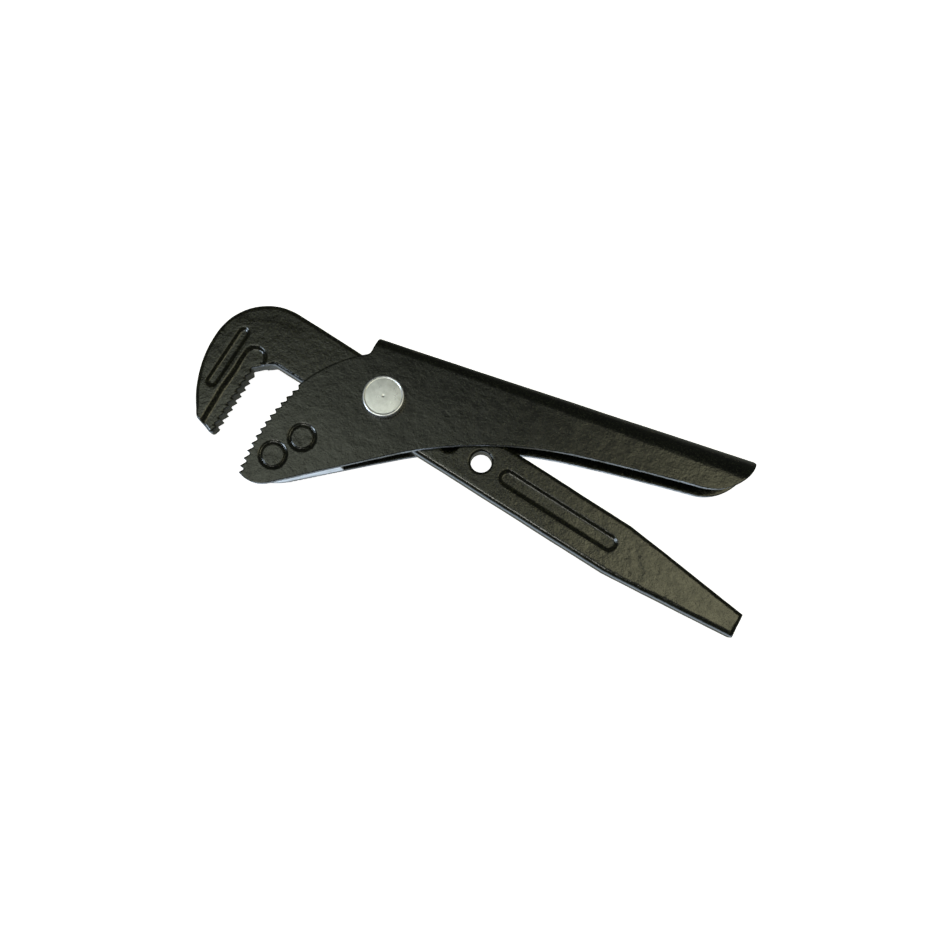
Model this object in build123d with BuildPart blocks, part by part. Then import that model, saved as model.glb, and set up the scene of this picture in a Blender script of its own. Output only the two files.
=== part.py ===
"""Footprint-pattern adjustable pipe wrench, nominal 7 in size.

A forged bar carries the hook jaw at one end and the lower handle at the other. It runs between
the flanges of a pressed steel channel, whose nose holds the second jaw. A knurled screw through
one of the bar's four holes is the pivot, and its tip is held in a threaded bush.

The wrench lies flat on its side. The origin is on the pivot axis, on the plane of the bush's end
face. +Z runs up the pivot axis to the screw's head, +X runs back along the channel's spine, and
+Y points from the pivot to the spine. All sizes are in millimetres.
"""

import os
from math import asin, atan2, cos, degrees

from build123d import *

# Levels up the pivot axis
MID_Z = 8.2
BAR_THICKNESS = 7.6
GAP = 8.2
SHEET = 2.2

# Forged bar, in its own frame: u runs from the pivot to the handle's end, v towards the spine
BAR_ANGLE = 13.8
BAR_TOP_V = 8.0
TAPER_START_U = 82.5
TAPER_START_BOTTOM_V = -8.15
TAIL_TOP = (123.35, 3.65)
TAIL_BOTTOM = (124.1, -3.95)
TAIL_CORNER_RADIUS = 1.6

# Hook jaw at the front of the bar
CROWN_CENTRE = (-37.0, -9.9)
CROWN_TOP_V = 8.2
CROWN_RADIUS = CROWN_TOP_V - CROWN_CENTRE[1]
HOOK_BACK_RADIUS = 36.05
HOOK_BACK_TURN = 44.5
HOOK_TIP = (-38.5, -37.1)
HOOK_CORNER_RADIUS = 1.0
THROAT_START = (-38.95, -12.8)
THROAT_MID = (-37.35, -11.15)
THROAT_END = (-34.4, -9.0)
THROAT_NOTCH = (-40.0, -13.8)
THROAT_RADIUS = 2.5

# Teeth of the hook, which lean towards the throat
HOOK_FIRST_TIP = (-38.98, -14.9)
HOOK_LAST_TIP = (-38.3, -34.2)
HOOK_TOOTH_COUNT = 8
HOOK_TOOTH_HEIGHT = 1.1
HOOK_STEEP_RUN = 0.3

# Shallow panels forged into both faces of the bar
PANEL_DEPTH = 1.0
PANEL_OVERSHOOT = 0.3
SLOT_WALL_RUN = 0.5
HEAD_SLOT = ((-47.75, -6.0), (-47.3, -23.4), 4.4)
HANDLE_SLOT = ((43.7, 0.0), (79.2, 0.1), 5.8)
TOOTH_PANEL_WALL_RUN = 1.9
TOOTH_PANEL_CENTRE = (-40.6, -10.5)
TOOTH_PANEL_RADIUS = 4.1
TOOTH_PANEL_BEND = (-44.8, -24.0)
TOOTH_PANEL_FOOT = (-43.7, -38.0)

# Adjusting holes along the bar, the first of which takes the pivot screw here
HOLE_RADIUS = 3.2
HOLE_PITCH = 11.5
HOLE_COUNT = 4
HOLE_CHAMFER = 0.5

# Channel handle, side outline in X and Y
SPINE_TOP_Y = 17.6
SPINE_RISE = 1.25
SPINE_FRONT_X = -7.9
SPINE_REAR_X = 111.4
SPINE_CORNER_RADIUS = 0.8
SPINE_REAR_CORNER_RADIUS = 1.2
STEP_FOOT = (-8.75, 11.57)
STEP_RADIUS = 1.6
NOSE_BACK_RADIUS = 42.1
NOSE_END = (-33.15, -35.05)
BELLY_START = (9.78, -14.09)
BELLY_RADIUS = 129.0
GRIP_RADIUS = 800.0
TAIL_ARC_RADIUS = 14.75

# Lower side of each flange: nose's middle and corner, belly's end and grip's end. The far one
# is set back under the nose and hangs a little lower under the grip.
NEAR_FLANGE = ((-29.2, -36.45), (-23.75, -35.06), (60.68, 2.35), (98.3, 5.25))
FAR_FLANGE = ((-26.3, -34.3), (-19.0, -31.15), (60.68, 1.55), (96.5, 4.65))

# Channel handle, cross-section: parallel at the front, then splayed and rounder to the rear
FRONT_HALF_WIDTH = GAP / 2 + SHEET
REAR_HALF_WIDTH = MID_Z
FRONT_BEND_RADIUS = 3.2
REAR_BEND_RADIUS = 7.8
SPLAY_START_X = 10.0
SECTION_FRONT_X = -45.0
SECTION_REAR_X = 116.0
SECTION_BOTTOM_Y = -45.0

# Teeth of the nose, whose tips lie on one arc, and which grow from the top to the tip
NOSE_FIRST_TIP = (-25.83, -4.63)
NOSE_LAST_TIP = (-33.53, -33.18)
NOSE_ARC_RADIUS = 61.1
NOSE_TOOTH_COUNT = 12
NOSE_TOOTH_HEIGHTS = (1.1, 1.5)
NOSE_STEEP_SHARES = (0.31, 0.17)
NOSE_END_ROOT = (-31.85, -33.6)

# Hardened block between the flanges at the nose
BLOCK_FIRST_TOOTH = 4
BLOCK_REAR_BOTTOM_X = -5.7
BLOCK_REAR_TOP = (-11.0, -13.4)

# Rivets of the nose: flush in the near flange, and a flat head on the far one
RIVET_CENTRES = {
    "nose_rivet_front": (-25.41, -26.78),
    "nose_rivet_rear": (-19.05, -19.05),
}
RIVET_RADIUS = 3.6
RIVET_CHAMFER = 0.55
RIVET_SINK = 0.7
RIVET_HEAD_RADIUS = 4.7
RIVET_HEAD_ROUND = 0.9

# Pivot screw and its bush
SHANK_RADIUS = 3.15
SHANK_CLEARANCE = 0.1
SHANK_END_Z = 4.4
SCREW_HEAD_RADIUS = 6.3
SCREW_HEAD_HEIGHT = 3.3
SCREW_HEAD_CHAMFER = 0.6
SCREW_HEAD_GAP = 0.05
CENTRE_MARK_RADIUS = 0.35
KNURL_COUNT = 52
KNURL_RADIUS = 0.3
KNURL_DEPTH = 0.16
THREAD_RADIUS = 2.85
THREAD_CLEARANCE = 0.1
THREAD_PITCH = 1.0
THREAD_DEPTH = 0.4
THREAD_TURNS = 4
SCREW_TIP_Z = 0.0
BUSH_COLLAR_RADIUS = 5.6
BUSH_BODY_RADIUS = 4.6
BUSH_CHAMFER = 0.4

BAR_LOW_Z = MID_Z - BAR_THICKNESS / 2
BAR_HIGH_Z = MID_Z + BAR_THICKNESS / 2
NEAR_FACE_Z = MID_Z + FRONT_HALF_WIDTH
FAR_FACE_Z = MID_Z - FRONT_HALF_WIDTH
GAP_LOW_Z = MID_Z - GAP / 2


def bar_plane(z):
    """Workplane of the bar's own frame at a height."""
    return Plane.XY.rotated((0, 0, -BAR_ANGLE)).offset(z)


def between(start, end, share):
    """The point that lies this share of the way from start to end."""
    return tuple(a + (b - a) * share for a, b in zip(start, end))


def tooth_row(tips, heights, root_shares, to_metal):
    """Zigzag through the tips, with one root between each two.

    heights and root_shares hold the first tooth's value and the last one's. A root share is the
    part of the pitch by which the root follows its tip. to_metal turns the row's way to the metal.
    """
    points = [tips[0]]
    for index, (tip, following) in enumerate(zip(tips, tips[1:])):
        way = index / (len(tips) - 2)
        height = heights[0] + (heights[1] - heights[0]) * way
        root_share = root_shares[0] + (root_shares[1] - root_shares[0]) * way
        along = (Vector(*following) - Vector(*tip)).normalized()
        root = Vector(*between(tip, following, root_share)) + along.rotate(Axis.Z, to_metal) * height
        points += [(root.X, root.Y), following]
    return points


def hook_teeth():
    """The hook's tooth row, from the throat down to the hook's tip."""
    count = HOOK_TOOTH_COUNT
    tips = [between(HOOK_FIRST_TIP, HOOK_LAST_TIP, i / count) for i in range(count + 1)]
    pitch = (Vector(*tips[1]) - Vector(*tips[0])).length
    root_share = 1 - HOOK_STEEP_RUN / pitch
    return tooth_row(tips, (HOOK_TOOTH_HEIGHT,) * 2, (root_share,) * 2, -90)


def nose_teeth():
    """The nose's tooth row, from its top down to the nose's tip."""
    first = Vector(*NOSE_FIRST_TIP)
    chord = Vector(*NOSE_LAST_TIP) - first
    half_turn = asin(chord.length / 2 / NOSE_ARC_RADIUS)
    to_centre = chord.normalized().rotate(Axis.Z, 90) * (NOSE_ARC_RADIUS * cos(half_turn))
    centre = first + chord * 0.5 + to_centre
    turn = degrees(2 * half_turn) / NOSE_TOOTH_COUNT
    arms = [(first - centre).rotate(Axis.Z, turn * i) for i in range(NOSE_TOOTH_COUNT + 1)]
    tips = [(centre.X + arm.X, centre.Y + arm.Y) for arm in arms]
    return [*tooth_row(tips, NOSE_TOOTH_HEIGHTS, NOSE_STEEP_SHARES, 90), NOSE_END_ROOT, NOSE_END]


def side_face(plane, nose_middle, nose_corner, belly_end, grip_end):
    """The channel's side outline, for the flange whose lower side these points give."""
    spine_front = (SPINE_FRONT_X, SPINE_TOP_Y)
    spine_rear = (SPINE_REAR_X, SPINE_TOP_Y + SPINE_RISE)
    with BuildSketch(plane) as outline:
        with BuildLine():
            Polyline(spine_rear, (SPLAY_START_X, SPINE_TOP_Y), spine_front, STEP_FOOT)
            RadiusArc(STEP_FOOT, NOSE_FIRST_TIP, -NOSE_BACK_RADIUS)
            Polyline(*nose_teeth())
            ThreePointArc(NOSE_END, nose_middle, nose_corner)
            Line(nose_corner, BELLY_START)
            RadiusArc(BELLY_START, belly_end, BELLY_RADIUS)
            RadiusArc(belly_end, grip_end, GRIP_RADIUS)
            RadiusArc(grip_end, spine_rear, -TAIL_ARC_RADIUS)
        make_face()
        fillet(outline.vertices().sort_by_distance(spine_front)[0], SPINE_CORNER_RADIUS)
        fillet(outline.vertices().sort_by_distance(spine_rear)[0], SPINE_REAR_CORNER_RADIUS)
        fillet(outline.vertices().sort_by_distance(STEP_FOOT)[0], STEP_RADIUS)
    return outline.sketch


def channel_section(x, inset):
    """Closed profile of the channel across X, with the spine's two bends, shrunk by inset."""
    splay = max(0, (x - SPLAY_START_X) / (SPINE_REAR_X - SPLAY_START_X))
    half_width = FRONT_HALF_WIDTH + (REAR_HALF_WIDTH - FRONT_HALF_WIDTH) * splay
    bend_radius = FRONT_BEND_RADIUS + (REAR_BEND_RADIUS - FRONT_BEND_RADIUS) * splay
    height = SPINE_TOP_Y + SPINE_RISE * splay - inset - SECTION_BOTTOM_Y
    with BuildSketch(Plane.YZ.offset(x)) as profile:
        with Locations((SECTION_BOTTOM_Y + height / 2, MID_Z)):
            Rectangle(height, 2 * (half_width - inset))
        fillet(profile.vertices().group_by(Axis.X)[-1], bend_radius - inset)
    return profile.sketch


def channel_sections(inset):
    """The channel's profiles, from the nose to the rear."""
    return [channel_section(x, inset) for x in (SECTION_FRONT_X, SPLAY_START_X, SECTION_REAR_X)]


def slot_outline(plane, inset, start, end, width):
    """Round-ended slot between two arc centres, shrunk by inset."""
    run = Vector(*end) - Vector(*start)
    with BuildSketch(plane) as slot:
        with Locations(between(start, end, 0.5)):
            SlotCenterToCenter(run.length, width - 2 * inset, degrees(atan2(run.Y, run.X)))
    return slot.sketch


def tooth_panel_outline(plane, inset):
    """Sunk panel behind the hook's teeth, which runs out past them, shrunk by inset."""
    centre_u, centre_v = TOOTH_PANEL_CENTRE
    radius = TOOTH_PANEL_RADIUS - inset
    open_u = centre_u + 3 * TOOTH_PANEL_RADIUS
    with BuildSketch(plane) as panel:
        with BuildLine():
            CenterArc(TOOTH_PANEL_CENTRE, radius, 0, 180)
            Polyline(
                (centre_u - radius, centre_v),
                (TOOTH_PANEL_BEND[0] + inset, TOOTH_PANEL_BEND[1]),
                (TOOTH_PANEL_FOOT[0] + inset, TOOTH_PANEL_FOOT[1]),
                (open_u, TOOTH_PANEL_FOOT[1]),
                (open_u, centre_v),
                (centre_u + radius, centre_v),
            )
        make_face()
    return panel.sketch


def sink_panels(face_z, outward):
    """Sinks the tooth panel and the two slots into one face of the bar, with sloping walls."""
    above = bar_plane(face_z + outward * PANEL_OVERSHOOT)
    floor = bar_plane(face_z - outward * PANEL_DEPTH)
    flare = -PANEL_OVERSHOOT / PANEL_DEPTH
    run = TOOTH_PANEL_WALL_RUN
    tools = [(tooth_panel_outline(above, flare * run), tooth_panel_outline(floor, run))]
    run = SLOT_WALL_RUN
    for slot in (HEAD_SLOT, HANDLE_SLOT):
        tools.append((slot_outline(above, flare * run, *slot), slot_outline(floor, run, *slot)))
    for tool in tools:
        loft(tool, ruled=True, mode=Mode.SUBTRACT)


def save(part):
    """Writes a finished sub-part under its own name."""
    export_step(part, f"parts/{part.label}.step")


os.makedirs("parts", exist_ok=True)

# Forged bar: hook jaw, head and handle in one piece
with BuildPart() as jaw_bar:
    with BuildSketch(bar_plane(BAR_LOW_Z)) as bar_outline:
        with BuildLine():
            top = Line((TAPER_START_U, BAR_TOP_V), (CROWN_CENTRE[0], CROWN_TOP_V))
            crown = CenterArc(CROWN_CENTRE, CROWN_RADIUS, 90, 90)
            back_centre = crown @ 1 + Vector(HOOK_BACK_RADIUS, 0)
            back = CenterArc(back_centre, HOOK_BACK_RADIUS, 180, HOOK_BACK_TURN)
            Polyline(back @ 1, HOOK_TIP, HOOK_LAST_TIP, THROAT_START)
            ThreePointArc(THROAT_START, THROAT_MID, THROAT_END)
            taper_bottom = (TAPER_START_U, TAPER_START_BOTTOM_V)
            Polyline(THROAT_END, taper_bottom, TAIL_BOTTOM, TAIL_TOP, top @ 0)
        make_face()
        corners = bar_outline.vertices()
        hook_corners = [corners.sort_by_distance(point)[0] for point in (back @ 1, HOOK_TIP)]
        throat_corners = [
            corners.sort_by_distance(point)[0] for point in (THROAT_START, THROAT_END)
        ]
        tail_corners = [corners.sort_by_distance(point)[0] for point in (TAIL_TOP, TAIL_BOTTOM)]
        fillet(hook_corners, HOOK_CORNER_RADIUS)
        fillet(throat_corners, THROAT_RADIUS)
        fillet(tail_corners, TAIL_CORNER_RADIUS)
    extrude(amount=BAR_THICKNESS)
    sink_panels(BAR_HIGH_Z, 1)
    sink_panels(BAR_LOW_Z, -1)

    with BuildSketch(bar_plane(BAR_LOW_Z)):
        with BuildLine():
            outside_u = HOOK_LAST_TIP[0] + HOOK_TOOTH_HEIGHT
            teeth = hook_teeth()
            Polyline(
                THROAT_MID,
                THROAT_NOTCH,
                *teeth,
                (outside_u, teeth[-1][1]),
                (outside_u, THROAT_MID[1]),
                close=True,
            )
        make_face()
    extrude(amount=BAR_THICKNESS, mode=Mode.SUBTRACT)

    with BuildSketch(bar_plane(BAR_LOW_Z)):
        with Locations(*[(HOLE_PITCH * i, 0) for i in range(HOLE_COUNT)]):
            Circle(HOLE_RADIUS)
    extrude(amount=BAR_THICKNESS, mode=Mode.SUBTRACT)
    hole_rims = jaw_bar.edges().filter_by(GeomType.CIRCLE).filter_by(
        lambda edge: abs(edge.radius - HOLE_RADIUS) < 1e-4
    )
    chamfer(hole_rims, HOLE_CHAMFER)
jaw_bar.part.label = "jaw_bar"
save(jaw_bar.part)

# Pressed channel: spine, two flanges and the toothed nose
with BuildPart() as side_shape:
    extrude(side_face(Plane.XY.offset(MID_Z), *NEAR_FLANGE), amount=MID_Z)
    extrude(side_face(Plane.XY, *FAR_FLANGE), amount=MID_Z)

with BuildPart() as channel_handle:
    loft(channel_sections(0), ruled=True)
    loft(channel_sections(SHEET), ruled=True, mode=Mode.SUBTRACT)
    with BuildSketch(Plane.XY.offset(MID_Z)):
        Circle(SHANK_RADIUS + SHANK_CLEARANCE)
    extrude(amount=MID_Z, mode=Mode.SUBTRACT)
    with BuildSketch():
        Circle(BUSH_BODY_RADIUS)
    extrude(amount=MID_Z, mode=Mode.SUBTRACT)
    with BuildSketch():
        with Locations(*RIVET_CENTRES.values()):
            Circle(RIVET_RADIUS)
    extrude(amount=2 * MID_Z, mode=Mode.SUBTRACT)
    rivet_rims = channel_handle.edges().filter_by(GeomType.CIRCLE).filter_by(
        lambda edge: abs(edge.radius - RIVET_RADIUS) < 1e-4
    )
    chamfer(rivet_rims.group_by(Axis.Z)[-1], RIVET_SINK)
    add(side_shape.part, mode=Mode.INTERSECT)
channel_handle.part.label = "channel_handle"
save(channel_handle.part)

# Hardened block that carries the nose's teeth between the flanges
with BuildPart() as nose_block:
    with BuildSketch(Plane.XY.offset(GAP_LOW_Z)):
        with BuildLine():
            block_teeth = nose_teeth()[2 * BLOCK_FIRST_TOOTH :]
            middle, corner = FAR_FLANGE[:2]
            share = (BLOCK_REAR_BOTTOM_X - corner[0]) / (BELLY_START[0] - corner[0])
            rear_bottom = between(corner, BELLY_START, share)
            Polyline(*block_teeth)
            ThreePointArc(NOSE_END, middle, corner)
            Polyline(corner, rear_bottom, BLOCK_REAR_TOP, block_teeth[0])
        make_face()
        with Locations(*RIVET_CENTRES.values()):
            Circle(RIVET_RADIUS, mode=Mode.SUBTRACT)
    extrude(amount=GAP)
nose_block.part.label = "nose_block"
save(nose_block.part)

# Two rivets through the flanges and the block
for rivet_name, rivet_centre in RIVET_CENTRES.items():
    with BuildPart() as nose_rivet:
        with BuildSketch():
            with Locations(rivet_centre):
                Circle(RIVET_HEAD_RADIUS)
        extrude(amount=FAR_FACE_Z)
        fillet(nose_rivet.edges().group_by(Axis.Z)[0], RIVET_HEAD_ROUND)
        with BuildSketch(Plane.XY.offset(FAR_FACE_Z)):
            with Locations(rivet_centre):
                Circle(RIVET_RADIUS)
        extrude(amount=2 * FRONT_HALF_WIDTH)
        chamfer(nose_rivet.edges().group_by(Axis.Z)[-1], RIVET_CHAMFER)
    nose_rivet.part.label = rivet_name
    save(nose_rivet.part)

# Pivot screw: knurled head, plain shank and threaded tip
with BuildPart() as pivot_screw:
    seat_z = NEAR_FACE_Z + SCREW_HEAD_GAP
    head_top_z = seat_z + SCREW_HEAD_HEIGHT
    thread_root = THREAD_RADIUS - THREAD_DEPTH
    thread = []
    for turn in range(THREAD_TURNS):
        crest_z = SHANK_END_Z - THREAD_PITCH * (turn + 0.5)
        thread.append((thread_root, crest_z + THREAD_PITCH / 2))
        thread.append((THREAD_RADIUS, crest_z))
    with BuildSketch(Plane.XZ):
        with BuildLine():
            Polyline(
                (0, head_top_z - CENTRE_MARK_RADIUS),
                (CENTRE_MARK_RADIUS, head_top_z),
                (SCREW_HEAD_RADIUS - SCREW_HEAD_CHAMFER, head_top_z),
                (SCREW_HEAD_RADIUS, head_top_z - SCREW_HEAD_CHAMFER),
                (SCREW_HEAD_RADIUS, seat_z),
                (SHANK_RADIUS, seat_z),
                (SHANK_RADIUS, SHANK_END_Z),
                *thread,
                (thread_root, SCREW_TIP_Z),
                (0, SCREW_TIP_Z),
                close=True,
            )
        make_face()
    revolve(axis=Axis.Z)
    with BuildSketch(Plane.XY.offset(seat_z)):
        with PolarLocations(SCREW_HEAD_RADIUS + KNURL_RADIUS - KNURL_DEPTH, KNURL_COUNT):
            Circle(KNURL_RADIUS)
    extrude(amount=SCREW_HEAD_HEIGHT, mode=Mode.SUBTRACT)
pivot_screw.part.label = "pivot_screw"
save(pivot_screw.part)

# Bush in the far flange that takes the screw's tip
with BuildPart() as threaded_bush:
    with BuildSketch():
        Circle(BUSH_COLLAR_RADIUS)
    extrude(amount=FAR_FACE_Z)
    chamfer(threaded_bush.edges().group_by(Axis.Z)[0], BUSH_CHAMFER)
    with BuildSketch(Plane.XY.offset(FAR_FACE_Z)):
        Circle(BUSH_BODY_RADIUS)
    extrude(amount=SHEET)
    with BuildSketch():
        Circle(THREAD_RADIUS + THREAD_CLEARANCE)
    extrude(amount=FAR_FACE_Z + SHEET, mode=Mode.SUBTRACT)
threaded_bush.part.label = "threaded_bush"
save(threaded_bush.part)
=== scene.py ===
"""Looks of the pipe wrench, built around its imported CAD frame: softened forged and pressed steel,
turned screw, rivets and bush, black enamel, bright steel, a white floor and soft light.
"""

import math

import bpy
import numpy as np
from mathutils import Matrix, Vector, noise
from mathutils.bvhtree import BVHTree


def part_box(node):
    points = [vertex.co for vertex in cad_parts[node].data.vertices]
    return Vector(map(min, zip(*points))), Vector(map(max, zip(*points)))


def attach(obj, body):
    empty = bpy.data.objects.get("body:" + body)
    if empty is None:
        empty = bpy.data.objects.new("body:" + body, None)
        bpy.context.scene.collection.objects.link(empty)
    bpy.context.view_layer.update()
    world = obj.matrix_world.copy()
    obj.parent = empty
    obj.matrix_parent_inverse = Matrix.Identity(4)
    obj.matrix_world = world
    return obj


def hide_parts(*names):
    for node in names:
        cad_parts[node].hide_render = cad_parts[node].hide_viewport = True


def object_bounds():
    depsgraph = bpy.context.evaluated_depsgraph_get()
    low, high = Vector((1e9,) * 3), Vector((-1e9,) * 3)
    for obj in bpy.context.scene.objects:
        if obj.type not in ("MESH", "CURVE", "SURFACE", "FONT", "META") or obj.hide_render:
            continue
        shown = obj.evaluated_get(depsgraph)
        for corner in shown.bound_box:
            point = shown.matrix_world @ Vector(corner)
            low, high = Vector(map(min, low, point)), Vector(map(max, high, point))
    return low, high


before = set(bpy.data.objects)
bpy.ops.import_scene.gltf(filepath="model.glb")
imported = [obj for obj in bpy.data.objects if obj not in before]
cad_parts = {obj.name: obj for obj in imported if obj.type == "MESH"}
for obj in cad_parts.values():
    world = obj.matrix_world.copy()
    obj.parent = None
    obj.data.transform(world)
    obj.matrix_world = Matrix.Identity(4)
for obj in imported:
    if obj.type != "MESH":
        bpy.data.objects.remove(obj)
cad_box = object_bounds()

MM = 0.001

# Camera, in the shared frame: about 9 degrees off the pivot axis, the spine falling to the right
CAMERA_PLACE = Vector((47.75, -54.39, 304.3)) * MM
CAMERA_LOOK = Vector((-0.04968, 0.14118, -0.98874))
CAMERA_UP = Vector((-0.32399, 0.93415, 0.14966))
CAMERA_LENS = 37.63

# Bar's own frame: u runs from the pivot along the bar, v towards the spine
BAR_TURN = math.radians(-13.8)
BAR_MID_Z = 8.2
BAR_HALF_THICKNESS = 3.8
HOLES_END_U = 38.0
HOLE_CLEAR = 4.0
ON_WALL = 0.1

# Directions of the image's right and up across the floor, and straight down
ACROSS = Vector((0.945, 0.328, 0.0))
UPWARD = Vector((-0.328, 0.945, 0.0))
DOWN = Vector((0, 0, -1))


def mm(*values):
    """Millimetres to metres."""
    return tuple(value * MM for value in values)


def to_bar(place):
    """A place's u and v in the bar's own frame."""
    cosine, sine = math.cos(BAR_TURN), math.sin(BAR_TURN)
    return place[0] * cosine + place[1] * sine, place[1] * cosine - place[0] * sine


def smoothstep(low, high, value):
    """0 below low, 1 above high, and a smooth rise between."""
    share = np.clip((value - low) / (high - low), 0, 1)
    return share * share * (3 - 2 * share)


# ---------------------------------------------------------------- geometry


def mesh_points(mesh):
    """The vertices' places as an array."""
    points = np.empty(len(mesh.vertices) * 3)
    mesh.vertices.foreach_get("co", points)
    return points.reshape(-1, 3)


def set_points(mesh, points):
    """Moves the vertices to an array of places."""
    mesh.vertices.foreach_set("co", points.ravel())
    mesh.update()


def mesh_normals(mesh):
    """The vertices' normals as an array."""
    normals = np.empty(len(mesh.vertices) * 3)
    mesh.vertex_normals.foreach_get("vector", normals)
    return normals.reshape(-1, 3)


def even_skin(node, voxel):
    """A copy of a CAD node's skin, rebuilt as an even grid of voxels, whose size is in mm."""
    copy = bpy.data.objects.new(node + "_grid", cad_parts[node].data.copy())
    bpy.context.scene.collection.objects.link(copy)
    remesh = copy.modifiers.new("even_grid", "REMESH")
    remesh.mode = "VOXEL"
    remesh.voxel_size = voxel * MM
    graph = bpy.context.evaluated_depsgraph_get()
    mesh = bpy.data.meshes.new_from_object(copy.evaluated_get(graph))
    bpy.data.objects.remove(copy)
    return mesh


def relax(mesh, rounds, strength):
    """Rounds the mesh's edges. strength, from 0 to 1, is one number or one for each vertex."""
    edges = np.empty(len(mesh.edges) * 2, int)
    mesh.edges.foreach_get("vertices", edges)
    start, end = edges.reshape(-1, 2).T
    points = mesh_points(mesh)
    count = len(points)
    degree = np.bincount(start, minlength=count) + np.bincount(end, minlength=count)
    for _ in range(rounds):
        pull = np.empty_like(points)
        for axis in range(3):
            value = points[:, axis]
            total = np.bincount(start, value[end], count) + np.bincount(end, value[start], count)
            pull[:, axis] = total / degree - value
        points += pull * np.reshape(strength, (-1, 1))
    set_points(mesh, points)


def outer_walls(node):
    """Search tree of the bar's outer side walls, without the walls of its holes."""
    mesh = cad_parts[node].data
    corners = [vertex.co / MM for vertex in mesh.vertices]
    walls = []
    for face in mesh.polygons:
        u, v = to_bar(face.center / MM)
        in_holes = abs(v) < HOLE_CLEAR and -HOLE_CLEAR < u < HOLES_END_U
        if abs(face.normal.z) < 0.3 and not in_holes:
            walls.append(list(face.vertices))
    return BVHTree.FromPolygons(corners, walls)


def round_rim(mesh, walls, radius, half):
    """Rolls the bar's faces into its outer walls.

    radius and half, the face's height over the middle, are one number for each vertex, in mm.
    """
    points = mesh_points(mesh) / MM
    for index, (reach, face) in enumerate(zip(radius, half)):
        x, y, z = points[index]
        below_face = abs(face - abs(z - BAR_MID_Z))
        if below_face > reach:
            continue
        foot, normal, _, from_wall = walls.find_nearest(points[index])
        if from_wall > reach:
            continue
        share = min(max((from_wall - below_face) / reach, -1), 1)
        turn = math.radians(45) * (1 + share)
        inward = Vector((x - foot.x, y - foot.y)) if from_wall > ON_WALL else -normal.xy
        inward.normalize()
        drop = reach * (1 - math.sin(turn))
        step = reach * (1 - math.cos(turn))
        side = math.copysign(1, z - BAR_MID_Z)
        height = BAR_MID_Z + side * (face - drop)
        points[index] = foot.x + inward.x * step, foot.y + inward.y * step, height
    set_points(mesh, points * MM)


def ripple(mesh, wavelength, height, seed, mask=None):
    """Pushes the vertices in and out along their normals by smooth noise. Lengths are in mm."""
    points = mesh_points(mesh)
    length = wavelength * MM
    shift = Vector((seed, seed * 2, seed * 3))
    waves = [noise.noise(Vector(point) / length + shift) for point in points]
    push = np.array(waves) * (height * MM)
    if mask is not None:
        push *= mask
    points += mesh_normals(mesh) * push[:, None]
    set_points(mesh, points)


def keep_inside(mesh, node):
    """Holds a mesh inside its CAD node's box."""
    lowest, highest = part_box(node)
    points = np.clip(mesh_points(mesh), lowest, highest)
    set_points(mesh, points)


def make_piece(name, mesh, body, node, material):
    """Puts a finished mesh in the scene in place of a CAD node."""
    keep_inside(mesh, node)
    mesh.name = name
    piece = bpy.data.objects.new(name, mesh)
    bpy.context.scene.collection.objects.link(piece)
    mesh.materials.clear()
    mesh.materials.append(material)
    mesh.shade_smooth()
    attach(piece, body)
    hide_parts(node)


def lathe(profile, centre, sides, radius_at=None):
    """Closed skin of revolution.

    profile holds (radius, z) from the top down, in mm. radius_at may change a point's radius.
    """
    rings = []
    points = []
    for index, (radius, z) in enumerate(profile):
        if radius == 0:
            rings.append([len(points)])
            points.append((centre[0], centre[1], z))
            continue
        ring = []
        for side in range(sides):
            turn = 2 * math.pi * side / sides
            reach = radius_at(index, radius, z, turn) if radius_at else radius
            ring.append(len(points))
            points.append(
                (centre[0] + reach * math.cos(turn), centre[1] + reach * math.sin(turn), z)
            )
        rings.append(ring)
    faces = []
    for upper, lower in zip(rings, rings[1:]):
        for side in range(sides):
            following = (side + 1) % sides
            if len(upper) == 1:
                faces.append((upper[0], lower[side], lower[following]))
            elif len(lower) == 1:
                faces.append((upper[side], lower[0], upper[following]))
            else:
                faces.append((upper[side], lower[side], lower[following], upper[following]))
    if len(rings[0]) > 1 and len(rings[-1]) > 1:
        for side in range(sides):
            following = (side + 1) % sides
            faces.append(
                (rings[-1][side], rings[0][side], rings[0][following], rings[-1][following])
            )
    mesh = bpy.data.meshes.new("lathe")
    mesh.from_pydata([mm(*point) for point in points], [], faces)
    mesh.validate()
    mesh.update()
    return mesh


def rounded(start, corner, end, radius, steps):
    """Points of a round corner between two straight stretches of a profile."""
    corner = Vector(corner)
    to_start = (Vector(start) - corner).normalized() * radius
    to_end = (Vector(end) - corner).normalized() * radius
    points = []
    for step in range(steps + 1):
        share = step / steps
        points.append(tuple(corner + to_start * (1 - share) ** 2 + to_end * share**2))
    return points


def stretch(start, end, steps):
    """Evenly spaced points between two points of a profile, without the ends."""
    return [
        tuple(a + (b - a) * step / steps for a, b in zip(start, end)) for step in range(1, steps)
    ]


# ---------------------------------------------------------------- materials


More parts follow.
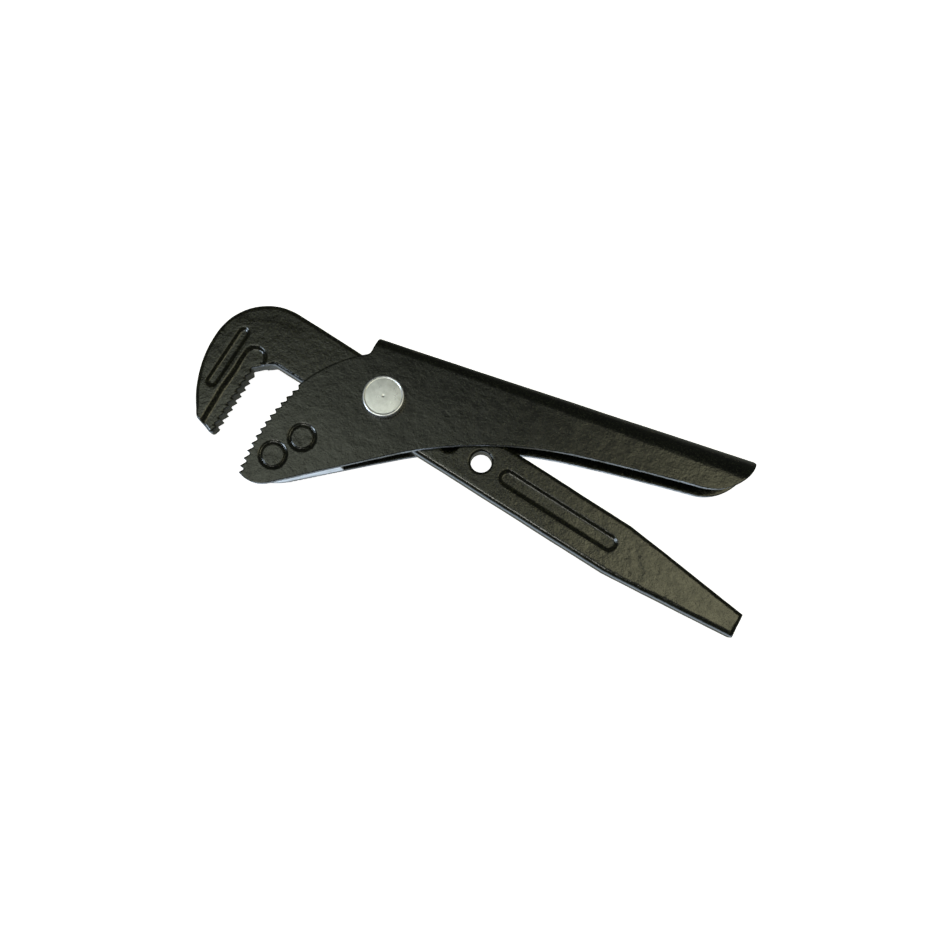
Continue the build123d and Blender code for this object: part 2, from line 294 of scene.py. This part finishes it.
class Graph:
    """Short way to build a material's nodes."""

    def __init__(self, name):
        self.material = bpy.data.materials.new(name)
        self.material.use_nodes = True
        self.nodes = self.material.node_tree.nodes
        self.links = self.material.node_tree.links
        self.shader = self.nodes["Principled BSDF"]
        coordinates = self.nodes.new("ShaderNodeTexCoord")
        self.place = coordinates.outputs["Object"]
        self.normal = coordinates.outputs["Normal"]

    def link(self, source, target):
        """Joins an output to an input."""
        self.links.new(source, target)

    def noise(self, scale, detail, roughness):
        """Noise with features about 1/scale long, in millimetres."""
        texture = self.nodes.new("ShaderNodeTexNoise")
        texture.inputs["Scale"].default_value = scale / MM
        texture.inputs["Detail"].default_value = detail
        texture.inputs["Roughness"].default_value = roughness
        self.link(self.place, texture.inputs["Vector"])
        return texture.outputs["Fac"]

    def ramp(self, source, low, high, start=0.0, end=1.0):
        """Maps low..high of a value to start..end."""
        node = self.nodes.new("ShaderNodeMapRange")
        node.inputs["From Min"].default_value = low
        node.inputs["From Max"].default_value = high
        node.inputs["To Min"].default_value = start
        node.inputs["To Max"].default_value = end
        self.link(source, node.inputs["Value"])
        return node.outputs["Result"]

    def math(self, operation, first, second):
        """One arithmetic step on two values."""
        node = self.nodes.new("ShaderNodeMath")
        node.operation = operation
        for socket, value in zip(node.inputs, (first, second)):
            if isinstance(value, float):
                socket.default_value = value
            else:
                self.link(value, socket)
        return node.outputs["Value"]

    def mix(self, share, first, second):
        """Mixes two colours."""
        node = self.nodes.new("ShaderNodeMix")
        node.data_type = "RGBA"
        sockets = node.inputs[0], node.inputs[6], node.inputs[7]
        for socket, value in zip(sockets, (share, first, second)):
            if isinstance(value, tuple):
                socket.default_value = (*value, 1.0)
            else:
                self.link(value, socket)
        return node.outputs[2]

    def part_y(self, vector):
        """The Y part of a vector."""
        node = self.nodes.new("ShaderNodeSeparateXYZ")
        self.link(vector, node.inputs["Vector"])
        return node.outputs["Y"]

    def edges(self, low, high):
        """1 on sharp convex edges, 0 elsewhere."""
        geometry = self.nodes.new("ShaderNodeNewGeometry")
        return self.ramp(geometry.outputs["Pointiness"], low, high)

    def bump(self, layers):
        """Adds height layers, each (height socket, depth in millimetres)."""
        normal = None
        for height, depth in layers:
            node = self.nodes.new("ShaderNodeBump")
            node.inputs["Strength"].default_value = 1.0
            node.inputs["Distance"].default_value = depth * MM
            self.link(height, node.inputs["Height"])
            if normal:
                self.link(normal, node.inputs["Normal"])
            normal = node.outputs["Normal"]
        self.link(normal, self.shader.inputs["Normal"])


NEAR_BLACK = (0.003, 0.003, 0.002)
# Pale tint of the convex edges: partly wear, partly a painted edge highlight.
WORN_AND_HIGHLIGHT = (0.16, 0.14, 0.10)
BARE_STEEL = (0.72, 0.74, 0.78)
# Lightness of the pale specks: partly random tone of the enamel, partly painted sheen of the orange
# peel.
SPECK_AND_SHEEN_LIGHTNESS = 2.2
SHEARED_BELOW_Y = 8.0


def sheared_edge(graph):
    """1 where the enamel is thin, on the sheared lower edges of the channel's flanges."""
    downward = graph.ramp(graph.part_y(graph.normal), -0.9, -0.75, 1.0, 0.0)
    limit = SHEARED_BELOW_Y * MM
    below_spine = graph.ramp(graph.part_y(graph.place), limit, limit + MM, 1.0, 0.0)
    patchy = graph.ramp(graph.noise(0.3, 4.0, 0.6), 0.35, 0.6, 0.3, 0.65)
    return graph.math("MULTIPLY", graph.math("MULTIPLY", downward, below_spine), patchy)


def enamel(name, olive, gloss, peel, sheared=False):
    """Baked black enamel over steel: mottled olive black with pale specks that are partly painted
    sheen, orange peel, and thin pale edges that are partly wear and partly a painted edge highlight.
    """
    graph = Graph(name)
    # Pale olive of the specks, which are partly random tone and partly painted sheen of the orange
    # peel.
    pale_olive_and_sheen = tuple(SPECK_AND_SHEEN_LIGHTNESS * value for value in olive)
    cloud = graph.ramp(graph.noise(0.09, 5.0, 0.6), 0.38, 0.62)
    grain = graph.ramp(graph.noise(0.5, 4.0, 0.7), 0.42, 0.66)
    speck_and_sheen = graph.ramp(graph.noise(1.3, 3.0, 0.7), 0.46, 0.66)
    tint = graph.mix(graph.math("MULTIPLY", cloud, 0.4), NEAR_BLACK, olive)
    tint = graph.mix(graph.math("MULTIPLY", grain, 0.6), tint, olive)
    tint = graph.mix(graph.math("MULTIPLY", speck_and_sheen, 0.9), tint, pale_olive_and_sheen)
    patchy = graph.ramp(graph.noise(0.5, 4.0, 0.5), 0.4, 0.6)
    # Convex edges lightened in patches: partly wear, partly a painted edge highlight.
    worn_and_highlight = graph.math("MULTIPLY", graph.edges(0.53, 0.62), patchy)
    tint = graph.mix(graph.math("MULTIPLY", worn_and_highlight, 0.5), tint, WORN_AND_HIGHLIGHT)
    rough = graph.ramp(graph.noise(0.35, 5.0, 0.6), 0.3, 0.7, gloss - 0.06, gloss + 0.1)
    if sheared:
        bare = sheared_edge(graph)
        tint = graph.mix(bare, tint, BARE_STEEL)
        rough = graph.math("ADD", rough, graph.math("MULTIPLY", bare, 0.25))
        graph.link(bare, graph.shader.inputs["Metallic"])
    graph.link(tint, graph.shader.inputs["Base Color"])
    graph.link(rough, graph.shader.inputs["Roughness"])
    graph.shader.inputs["IOR"].default_value = 1.5
    graph.bump([
        (graph.noise(0.4, 2.0, 0.5), 0.06 * peel),
        (graph.noise(1.2, 3.0, 0.6), 0.05 * peel),
        (graph.noise(2.6, 2.0, 0.6), 0.03 * peel),
    ])
    return graph.material


def bright_steel(name, light, dull, gloss):
    """Bare bright steel with a fine grain and faint smudges."""
    graph = Graph(name)
    graph.shader.inputs["Metallic"].default_value = 1.0
    smudge = graph.ramp(graph.noise(0.25, 4.0, 0.6), 0.4, 0.7)
    tint = graph.mix(smudge, light, dull)
    graph.link(tint, graph.shader.inputs["Base Color"])
    rough = graph.ramp(graph.noise(0.8, 4.0, 0.6), 0.3, 0.7, gloss - 0.05, gloss + 0.1)
    graph.link(rough, graph.shader.inputs["Roughness"])
    graph.bump([(graph.noise(2.5, 3.0, 0.6), 0.01)])
    return graph.material


bar_enamel = enamel("bar_enamel", olive=(0.018, 0.019, 0.010), gloss=0.14, peel=1.0)
channel_enamel = enamel(
    "channel_enamel", olive=(0.011, 0.013, 0.008), gloss=0.15, peel=0.9, sheared=True
)
rivet_enamel = enamel("rivet_enamel", olive=(0.014, 0.016, 0.010), gloss=0.18, peel=1.0)
bush_enamel = enamel("bush_enamel", olive=(0.018, 0.020, 0.013), gloss=0.3, peel=1.0)
block_steel = bright_steel(
    "block_steel", light=(0.86, 0.87, 0.90), dull=(0.62, 0.62, 0.63), gloss=0.42
)
screw_steel = bright_steel(
    "screw_steel", light=(0.76, 0.77, 0.82), dull=(0.54, 0.55, 0.58), gloss=0.3
)

# ---------------------------------------------------------------- forged bar

BAR_VOXEL = 0.22
BAR_ROUND = 1.35
BAR_LOWER_ROUND = 1.75
TOOTH_ROUND = 0.5
PANEL_DEPTH = 1.0
PANEL_RUN = 2.4
PANEL_ARCH_RUN = 1.6
PANEL_SLACK = 0.15
SLOT_DEPTH = 0.8
SLOT_RUN = 1.4
SLOTS = (((-47.75, -6.0), (-47.3, -23.4), 4.4), ((43.7, 0.0), (79.2, 0.1), 5.8))
TOOTH_PANEL_TOP = (-40.6, -10.5)
TOOTH_PANEL_RADIUS = 4.1
TOOTH_PANEL_BACK = ((10.5, -44.7), (24.0, -44.8), (38.0, -43.7))
TEETH_BESIDE_PANEL = (4.6, 6.6)
TEETH_END_V = (-36.0, -34.5)
PANEL_ARCH_V = (-18, -11)
LOWER_EDGE_U = (-22, -16)
TAIL_U = (80, 90)
WRINKLE_CENTRE = (89.0, -1.0)
WRINKLE_SPREAD = (11.4, 7.75)


def slot_inset(u, v, start, end, width):
    """How far inside a round-ended slot each point lies."""
    run_u, run_v = end[0] - start[0], end[1] - start[1]
    share = ((u - start[0]) * run_u + (v - start[1]) * run_v) / (run_u**2 + run_v**2)
    share = np.clip(share, 0, 1)
    return width / 2 - np.hypot(u - start[0] - share * run_u, v - start[1] - share * run_v)


def tooth_panel_inset(u, v):
    """How far inside the sunk panel behind the hook's teeth each point lies."""
    top_u, top_v = TOOTH_PANEL_TOP
    depths, backs = zip(*TOOTH_PANEL_BACK)
    behind = u - np.interp(-v, depths, backs)
    beside = np.hypot(u - top_u - TOOTH_PANEL_RADIUS, v - top_v)
    arch = TOOTH_PANEL_RADIUS - np.hypot(u - top_u, v - top_v)
    return np.where(v > top_v, arch, np.where(u > top_u, np.minimum(behind, beside), behind))


def sunk_depth(u, v):
    """Depth of the forged panels under the bar's face, with soft walls."""
    run = PANEL_RUN + (PANEL_ARCH_RUN - PANEL_RUN) * smoothstep(*PANEL_ARCH_V, v)
    depth = PANEL_DEPTH * smoothstep(0, run, tooth_panel_inset(u, v))
    for slot in SLOTS:
        depth = np.maximum(depth, SLOT_DEPTH * smoothstep(0, SLOT_RUN, slot_inset(u, v, *slot)))
    return depth


def soften_panels(mesh):
    """Moves the panels' floors and walls to their soft shape."""
    points = mesh_points(mesh)
    u, v = to_bar(points.T / MM)
    depth = sunk_depth(u, v)
    level_z = points[:, 2] / MM - BAR_MID_Z
    near_face = np.abs(level_z) > BAR_HALF_THICKNESS - PANEL_DEPTH - PANEL_SLACK
    facing = np.abs(mesh_normals(mesh)[:, 2]) > 0.2
    moved = near_face & facing & (depth > 0)
    height = np.sign(level_z) * (BAR_HALF_THICKNESS - depth)
    points[moved, 2] = (BAR_MID_Z + height[moved]) * MM
    set_points(mesh, points)


def teeth_share(u, v):
    """1 at the hook's teeth, where the edges stay sharp, and 0 elsewhere."""
    top_u, top_v = TOOTH_PANEL_TOP
    from_panel = np.hypot(u - top_u, np.maximum(v - top_v, 0))
    return (1 - smoothstep(*TEETH_BESIDE_PANEL, from_panel)) * smoothstep(*TEETH_END_V, v)


def edge_radius(u, v, at_teeth):
    """Radius of the bar's rolled edges: larger below the head and the handle."""
    at_lower_edge = smoothstep(*LOWER_EDGE_U, u) * (v < 0)
    radius = BAR_ROUND + (BAR_LOWER_ROUND - BAR_ROUND) * at_lower_edge
    return radius + (TOOTH_ROUND - radius) * at_teeth


def wrinkle_share(u, v):
    """1 in the middle of the tail's wrinkles, and fading around it."""
    along = (u - WRINKLE_CENTRE[0]) / WRINKLE_SPREAD[0]
    across = (v - WRINKLE_CENTRE[1]) / WRINKLE_SPREAD[1]
    return np.exp(-(along**2) - across**2)


def build_bar():
    """Forged bar with soft panels, rolled edges, slight waviness and a wrinkled tail."""
    mesh = even_skin("jaw_bar", BAR_VOXEL)
    u, v = to_bar(mesh_points(mesh).T / MM)
    at_teeth = teeth_share(u, v)
    half = BAR_HALF_THICKNESS - sunk_depth(u, v)
    soften_panels(mesh)
    round_rim(mesh, outer_walls("jaw_bar"), edge_radius(u, v, at_teeth), half)
    relax(mesh, rounds=3, strength=0.55 - 0.35 * at_teeth)
    wrinkled = wrinkle_share(u, v)
    at_tail = smoothstep(*TAIL_U, u)
    ripple(mesh, wavelength=11, height=0.08, seed=1.0)
    ripple(mesh, wavelength=3.5, height=0.03, seed=2.0)
    ripple(mesh, wavelength=3.0, height=0.09, seed=3.0, mask=wrinkled)
    ripple(mesh, wavelength=1.4, height=0.03, seed=3.5, mask=wrinkled)
    ripple(mesh, wavelength=2.2, height=0.02, seed=3.8, mask=at_tail)
    make_piece("forged_jaw_bar", mesh, "bar", "jaw_bar", bar_enamel)


build_bar()

# ---------------------------------------------------------------- pressed channel and block

CHANNEL_VOXEL = 0.2
BLOCK_VOXEL = 0.2
COUNTERSINK_RADIUS = 4.5
COUNTERSINK_RUN = 0.65
COUNTERSINK_DEPTH = 0.3
COUNTERSINK_REACH = 0.8


def node_centre(node):
    """A node's middle in X and Y, in mm."""
    lowest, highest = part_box(node)
    return (lowest[0] + highest[0]) / 2 / MM, (lowest[1] + highest[1]) / 2 / MM


def soften_countersinks(mesh):
    """Gives the countersinks around the rivets' near ends a soft edge."""
    points = mesh_points(mesh)
    facing = mesh_normals(mesh)[:, 2] > 0.2
    for node in ("nose_rivet_front", "nose_rivet_rear"):
        x, y = node_centre(node)
        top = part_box(node)[1][2] / MM
        from_centre = np.hypot(points[:, 0] / MM - x, points[:, 1] / MM - y)
        near_top = points[:, 2] / MM > top - COUNTERSINK_REACH
        sunk = facing & near_top & (from_centre < COUNTERSINK_RADIUS)
        share = smoothstep(0, COUNTERSINK_RUN, COUNTERSINK_RADIUS - from_centre)
        points[sunk, 2] = (top - COUNTERSINK_DEPTH * share[sunk]) * MM
    set_points(mesh, points)


def build_channel():
    """Pressed channel with soft countersinks, eased edges and slight waviness."""
    mesh = even_skin("channel_handle", CHANNEL_VOXEL)
    soften_countersinks(mesh)
    relax(mesh, rounds=2, strength=0.5)
    ripple(mesh, wavelength=16, height=0.08, seed=4.0)
    ripple(mesh, wavelength=4, height=0.02, seed=5.0)
    make_piece(
        "pressed_channel", mesh, "channel", "channel_handle", channel_enamel
    )


def build_block():
    """Toothed block with eased edges."""
    mesh = even_skin("nose_block", BLOCK_VOXEL)
    relax(mesh, rounds=2, strength=0.5)
    make_piece("toothed_nose_block", mesh, "channel", "nose_block", block_steel)


build_channel()
build_block()

# ---------------------------------------------------------------- turned rivets, screw and bush

RIVET_SIDES = 96
RIVET_SHANK = 3.6
RIVET_ISLAND = 3.05
RIVET_DIP = 0.05
RIVET_EDGE_DEPTH = 0.27
RIVET_HEAD_ROUND = 0.9
RIVET_HEAD_HEIGHT = 1.9


def build_rivet(node, piece_name):
    """Flush rivet with a shallow hammered top, and a flat round-edged head on the far side."""
    lowest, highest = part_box(node)
    centre = node_centre(node)
    head = (highest[0] - lowest[0]) / 2 / MM
    bottom, top = lowest[2] / MM, highest[2] / MM
    head_top = bottom + RIVET_HEAD_HEIGHT
    edge = (RIVET_SHANK, top - RIVET_EDGE_DEPTH)
    profile = [(0, top - RIVET_DIP)]
    profile += stretch((0, top - RIVET_DIP), (RIVET_ISLAND, top), 9)
    for radius, _ in stretch((RIVET_ISLAND, top), edge, 12):
        drop = RIVET_EDGE_DEPTH * smoothstep(RIVET_ISLAND, RIVET_SHANK, radius)
        profile.append((radius, top - float(drop)))
    profile += [edge]
    profile += stretch(edge, (RIVET_SHANK, head_top), 12)
    profile += [(RIVET_SHANK, head_top), (head, head_top)]
    profile += rounded((head, head_top), (head, bottom), (0, bottom), RIVET_HEAD_ROUND, 8)
    profile += stretch((head - RIVET_HEAD_ROUND, bottom), (0, bottom), 8)
    profile += [(0, bottom)]
    mesh = lathe(profile, centre, RIVET_SIDES)
    ripple(mesh, wavelength=1.6, height=0.03, seed=6.0 + centre[0])
    make_piece(piece_name, mesh, "channel", node, rivet_enamel)


build_rivet("nose_rivet_front", "flush_rivet_front")
build_rivet("nose_rivet_rear", "flush_rivet_rear")

KNURL_COUNT = 52
KNURL_DEPTH = 0.16
KNURL_FADE_RINGS = 4
SCREW_SIDES = KNURL_COUNT * 6
SCREW_CENTRE_MARK = 0.25
SCREW_RIM_WIDTH = 0.8
SCREW_RIM_ROUND = 0.5
SCREW_UNDER_BEVEL = 0.25
SCREW_DOME = 0.09
SCREW_CREST_DROP = 0.04
SCREW_CLEARANCE = 0.05
SHANK_RADIUS = 3.15
THREAD_TOP = 4.4
THREAD_OUTER = 2.85
THREAD_DEPTH = 0.4
THREAD_PITCH = 1.0
THREAD_RINGS = 60
TIP_BEVEL = 0.3


def screw_head(outer, top):
    """Profile of the head's top: a centre mark, a slight dome and a rolled rim."""
    crest = top - SCREW_CREST_DROP
    face = crest - SCREW_DOME
    rim_in = outer - SCREW_RIM_WIDTH
    mark = SCREW_CENTRE_MARK
    profile = [(0, crest - 0.08), (mark / 2, crest - 0.06), (mark, crest)]
    for radius, _ in stretch((mark, 0.0), (rim_in, 0.0), 16):
        profile.append((radius, crest - SCREW_DOME * (radius / rim_in) ** 2))
    profile += rounded((0, face), (rim_in, face), (rim_in + 0.3, top), 0.15, 3)
    profile += rounded((rim_in, top), (rim_in + 0.25, top), (outer, top), 0.05, 3)
    return profile


def build_screw():
    """Screw with a domed head, rolled rim, straight knurl, plain shank and a real thread."""
    lowest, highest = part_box("pivot_screw")
    outer = (highest[0] - lowest[0]) / 2 / MM
    top, tip = highest[2] / MM, lowest[2] / MM
    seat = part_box("nose_rivet_front")[1][2] / MM + SCREW_CLEARANCE
    skirt = seat + SCREW_UNDER_BEVEL
    profile = screw_head(outer, top)
    profile += rounded((0, top), (outer, top), (outer, seat), SCREW_RIM_ROUND, 8)
    knurl_first = len(profile)
    profile += stretch((outer, top - SCREW_RIM_ROUND), (outer, skirt), 6)
    profile += [(outer, skirt)]
    knurl_last = len(profile)
    profile += [(outer - SCREW_UNDER_BEVEL, seat), (SHANK_RADIUS, seat)]
    profile += stretch((SHANK_RADIUS, seat), (SHANK_RADIUS, THREAD_TOP), 12)
    profile += [(SHANK_RADIUS, THREAD_TOP)]
    thread_first = len(profile)
    thread_end = tip + TIP_BEVEL
    profile += stretch((THREAD_OUTER, THREAD_TOP), (THREAD_OUTER, thread_end), THREAD_RINGS)
    thread_last = len(profile)
    root = THREAD_OUTER - THREAD_DEPTH
    profile += [(root, thread_end), (root - TIP_BEVEL, tip), (0, tip)]

    def reach(index, radius, z, turn):
        if knurl_first - KNURL_FADE_RINGS <= index < knurl_last:
            fade = min(1, (index - knurl_first + KNURL_FADE_RINGS + 1) / KNURL_FADE_RINGS)
            return radius - KNURL_DEPTH * fade * (0.5 - 0.5 * math.cos(KNURL_COUNT * turn))
        if thread_first <= index < thread_last:
            phase = (z / THREAD_PITCH - turn / (2 * math.pi)) % 1
            return radius - THREAD_DEPTH * abs(2 * phase - 1)
        return radius

    mesh = lathe(profile, (0, 0), SCREW_SIDES, reach)
    make_piece("knurled_screw", mesh, "screw", "pivot_screw", screw_steel)


build_screw()

BUSH_SIDES = 96
BUSH_BODY = 4.6
BUSH_BORE = 2.95
BUSH_COLLAR = 1.9
BUSH_ROUND = 0.4
BUSH_BORE_BEVEL = 0.2


def build_bush():
    """Bush with a round-edged collar, which lies against the far flange."""
    lowest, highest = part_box("threaded_bush")
    collar = (highest[0] - lowest[0]) / 2 / MM
    bottom, top = lowest[2] / MM, highest[2] / MM
    seat = bottom + BUSH_COLLAR
    mouth = BUSH_BORE + BUSH_BORE_BEVEL
    profile = [(BUSH_BORE, top), (BUSH_BODY, top), (BUSH_BODY, seat), (collar, seat)]
    profile += rounded((collar, seat), (collar, bottom), (0, bottom), BUSH_ROUND, 6)
    profile += stretch((collar - BUSH_ROUND, bottom), (mouth, bottom), 5)
    profile += [(mouth, bottom), (BUSH_BORE, bottom + BUSH_BORE_BEVEL)]
    mesh = lathe(profile, (0, 0), BUSH_SIDES)
    make_piece("collared_bush", mesh, "channel", "threaded_bush", bush_enamel)


build_bush()

# ---------------------------------------------------------------- floor, light and camera

FLOOR_HALF = 3.0
LIGHT_REACH = 1.2


def white_paper():
    """White that glows enough to show no shade."""
    graph = Graph("floor_white")
    graph.shader.inputs["Base Color"].default_value = (0.9, 0.9, 0.9, 1.0)
    graph.shader.inputs["Roughness"].default_value = 0.9
    graph.shader.inputs["Emission Color"].default_value = (1.0, 1.0, 1.0, 1.0)
    graph.shader.inputs["Emission Strength"].default_value = 1.0
    return graph.material


def build_floor():
    """White floor under the wrench, which the sky's low light passes through."""
    height = cad_box[0][2]
    corners = [
        (-FLOOR_HALF, -FLOOR_HALF, height),
        (FLOOR_HALF, -FLOOR_HALF, height),
        (FLOOR_HALF, FLOOR_HALF, height),
        (-FLOOR_HALF, FLOOR_HALF, height),
    ]
    mesh = bpy.data.meshes.new("floor")
    mesh.from_pydata(corners, [], [(0, 1, 2, 3)])
    mesh.materials.append(white_paper())
    floor = bpy.data.objects.new("floor", mesh)
    bpy.context.scene.collection.objects.link(floor)
    floor.visible_glossy = False
    floor.visible_diffuse = False
    floor.visible_shadow = False


build_floor()

world = bpy.data.worlds.new("studio")
bpy.context.scene.world = world
world.use_nodes = True
sky = world.node_tree
background = sky.nodes["Background"]
direction = sky.nodes.new("ShaderNodeTexCoord").outputs["Generated"]


def sky_value(axis, low, high, start, end):
    """Strength that goes from start to end as a direction's part along axis goes from low to high."""
    dot = sky.nodes.new("ShaderNodeVectorMath")
    dot.operation = "DOT_PRODUCT"
    dot.inputs[1].default_value = axis
    sky.links.new(direction, dot.inputs[0])
    node = sky.nodes.new("ShaderNodeMapRange")
    node.interpolation_type = "SMOOTHSTEP"
    for name, value in (("From Min", low), ("From Max", high), ("To Min", start), ("To Max", end)):
        node.inputs[name].default_value = value
    sky.links.new(dot.outputs["Value"], node.inputs["Value"])
    return node.outputs["Result"]


def sky_glow(total, values, colour):
    """Adds a coloured glow, whose strength is the product of the values, to the sky so far."""
    strength = values[0]
    for value in values[1:]:
        product = sky.nodes.new("ShaderNodeMath")
        product.operation = "MULTIPLY"
        sky.links.new(strength, product.inputs[0])
        sky.links.new(value, product.inputs[1])
        strength = product.outputs["Value"]
    scaled = sky.nodes.new("ShaderNodeVectorMath")
    scaled.operation = "SCALE"
    scaled.inputs[0].default_value = colour
    sky.links.new(strength, scaled.inputs["Scale"])
    if total is None:
        return scaled.outputs[0]
    added = sky.nodes.new("ShaderNodeVectorMath")
    sky.links.new(total, added.inputs[0])
    sky.links.new(scaled.outputs[0], added.inputs[1])
    return added.outputs[0]


def overhead(across, upward):
    """Direction of a point of the ceiling, as its slant from straight up."""
    return (ACROSS * across + UPWARD * upward + Vector((0, 0, 1))).normalized()


def level(azimuth):
    """Level direction, counter-clockwise from ACROSS in degrees."""
    turn = math.radians(azimuth)
    return ACROSS * math.cos(turn) + UPWARD * math.sin(turn)


ceiling = sky_value(overhead(0.05, -0.1), 0.84, 0.99, 0.07, 0.27)
warm_right = sky_value(overhead(0.28, 0.0), 0.972, 0.999, 0.0, 3.5)
pale_left = sky_value(overhead(-0.25, 0.05), 0.966, 0.999, 0.0, 2.1)
below = sky_value(DOWN, 0.1, 0.5, 0.0, 0.12)
under_horizon = sky_value(DOWN, 0.03, 0.2, 0.0, 1.0)
towards_table = sky_value(level(235), 0.3, 0.62, 0.0, 2.4)
glow = sky_glow(None, (ceiling,), (0.95, 1.0, 0.93))
glow = sky_glow(glow, (warm_right,), (1.0, 0.96, 0.60))
glow = sky_glow(glow, (pale_left,), (0.93, 1.0, 0.8))
glow = sky_glow(glow, (below,), (0.96, 0.98, 0.80))
glow = sky_glow(glow, (under_horizon, towards_table), (0.76, 0.91, 1.08))
sky.links.new(glow, background.inputs["Color"])


def soft_light(name, azimuth, elevation, width, height, radiance, colour):
    """An oblong softbox that points at the wrench. azimuth is counter-clockwise from ACROSS."""
    rise = math.radians(elevation)
    middle = (Vector(cad_box[0]) + Vector(cad_box[1])) / 2
    away = level(azimuth) * math.cos(rise) - DOWN * math.sin(rise)
    lamp = bpy.data.lights.new(name, "AREA")
    lamp.shape = "RECTANGLE"
    lamp.size = width
    lamp.size_y = height
    lamp.energy = radiance * math.pi * width * height
    lamp.color = colour
    box = bpy.data.objects.new(name, lamp)
    bpy.context.scene.collection.objects.link(box)
    box.location = middle + away * LIGHT_REACH
    box.rotation_euler = (-away).to_track_quat("-Z", "Y").to_euler()
    box.visible_diffuse = False


soft_light(
    "blue_window",
    azimuth=200,
    elevation=30,
    width=0.34,
    height=0.32,
    radiance=22.0,
    colour=(0.72, 0.86, 1.0),
)
soft_light(
    "side_window",
    azimuth=232,
    elevation=58,
    width=0.34,
    height=0.24,
    radiance=10.0,
    colour=(1.0, 0.99, 0.88),
)


def place_camera():
    """Camera that looks down at the wrench and becomes the scene's own."""
    data = bpy.data.cameras.new("camera")
    data.sensor_width = 36.0
    data.lens = CAMERA_LENS
    camera = bpy.data.objects.new("camera", data)
    bpy.context.scene.collection.objects.link(camera)
    right = CAMERA_LOOK.cross(CAMERA_UP)
    axes = Matrix((right, right.cross(CAMERA_LOOK), -CAMERA_LOOK)).transposed()
    camera.matrix_world = Matrix.Translation(CAMERA_PLACE) @ axes.to_4x4()
    bpy.context.scene.camera = camera


place_camera()
bpy.context.scene.view_settings.view_transform = "Standard"
